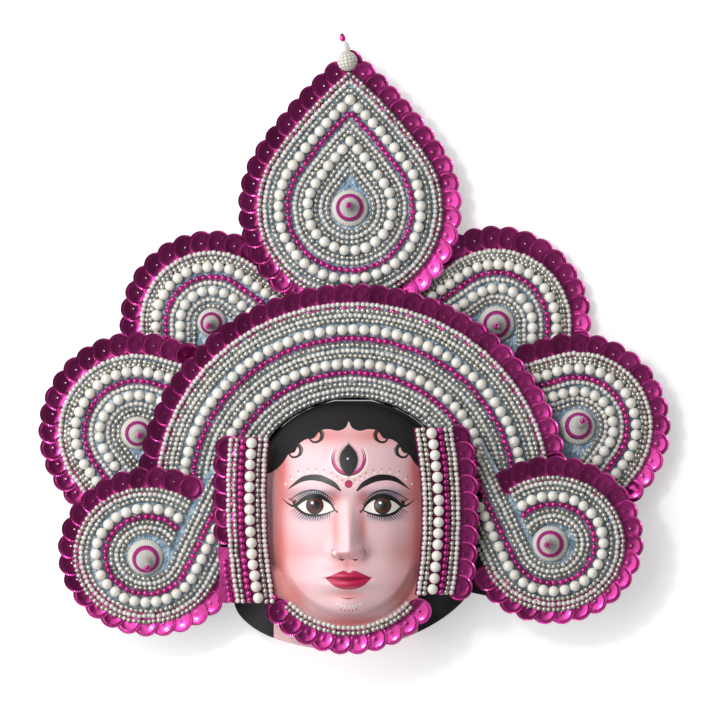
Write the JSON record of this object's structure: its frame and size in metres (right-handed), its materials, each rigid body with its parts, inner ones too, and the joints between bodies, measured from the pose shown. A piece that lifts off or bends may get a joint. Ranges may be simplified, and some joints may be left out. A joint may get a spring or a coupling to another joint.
{
  "type": "chhau mask",
  "caption": "Chhau dance mask lying on its back: painted hollow face under a wide beaded arch, with a teardrop medallion, rosettes and scrolls edged with foil discs.",
  "frame": {"origin": "middle of the footprint, on the plane the mask lies on", "axes": "+X to the right of the front view, +Y up the front view, +Z the way the face looks"},
  "size_m": [0.599, 0.5874, 0.1149],
  "materials": {
    "painted_papier_mache": "gloss painted papier mache: pink skin, black hair and black cloth at the flaps",
    "black_cloth": "matt black cotton over board",
    "silver_blue_foil": "crinkled silver-blue foil paper over board",
    "beads": "pearl-white, silver and magenta beads strung in rows",
    "magenta_foil": "shiny magenta foil, pressed discs with toothed rims",
    "white_thread": "white wound thread with a magenta thread ring and a magenta bead"
  },
  "bodies": {
    "root": {"arch_beadwork": "beads", "arch_board": "silver_blue_foil", "arch_foil_fringe": "magenta_foil", "backing": "black_cloth", "collar_beadwork": "beads", "collar_foil_fringe": "magenta_foil", "crown_knob": "white_thread", "face_shell": "painted_papier_mache", "left_strip_beadwork": "beads", "left_strip_board": "silver_blue_foil", "left_strip_foil_band": "magenta_foil", "left_strip_foil_fringe": "magenta_foil", "lower_left_beadwork": "beads", "lower_left_board": "silver_blue_foil", "lower_left_foil_fringe": "magenta_foil", "lower_left_knob": "white_thread", "lower_right_beadwork": "beads", "lower_right_board": "silver_blue_foil", "lower_right_foil_fringe": "magenta_foil", "lower_right_knob": "white_thread", "mid_left_beadwork": "beads", "mid_left_board": "silver_blue_foil", "mid_left_foil_fringe": "magenta_foil", "mid_left_knob": "white_thread", "mid_right_beadwork": "beads", "mid_right_board": "silver_blue_foil", "mid_right_foil_fringe": "magenta_foil", "mid_right_knob": "white_thread", "right_strip_beadwork": "beads", "right_strip_board": "silver_blue_foil", "right_strip_foil_fringe": "magenta_foil", "teardrop_beadwork": "beads", "teardrop_board": "silver_blue_foil", "teardrop_foil_fringe": "magenta_foil", "teardrop_knob": "white_thread", "upper_left_beadwork": "beads", "upper_left_board": "silver_blue_foil", "upper_left_foil_fringe": "magenta_foil", "upper_left_knob": "white_thread", "upper_right_beadwork": "beads", "upper_right_board": "silver_blue_foil", "upper_right_foil_fringe": "magenta_foil", "upper_right_knob": "white_thread"}
  },
  "joints": []
}
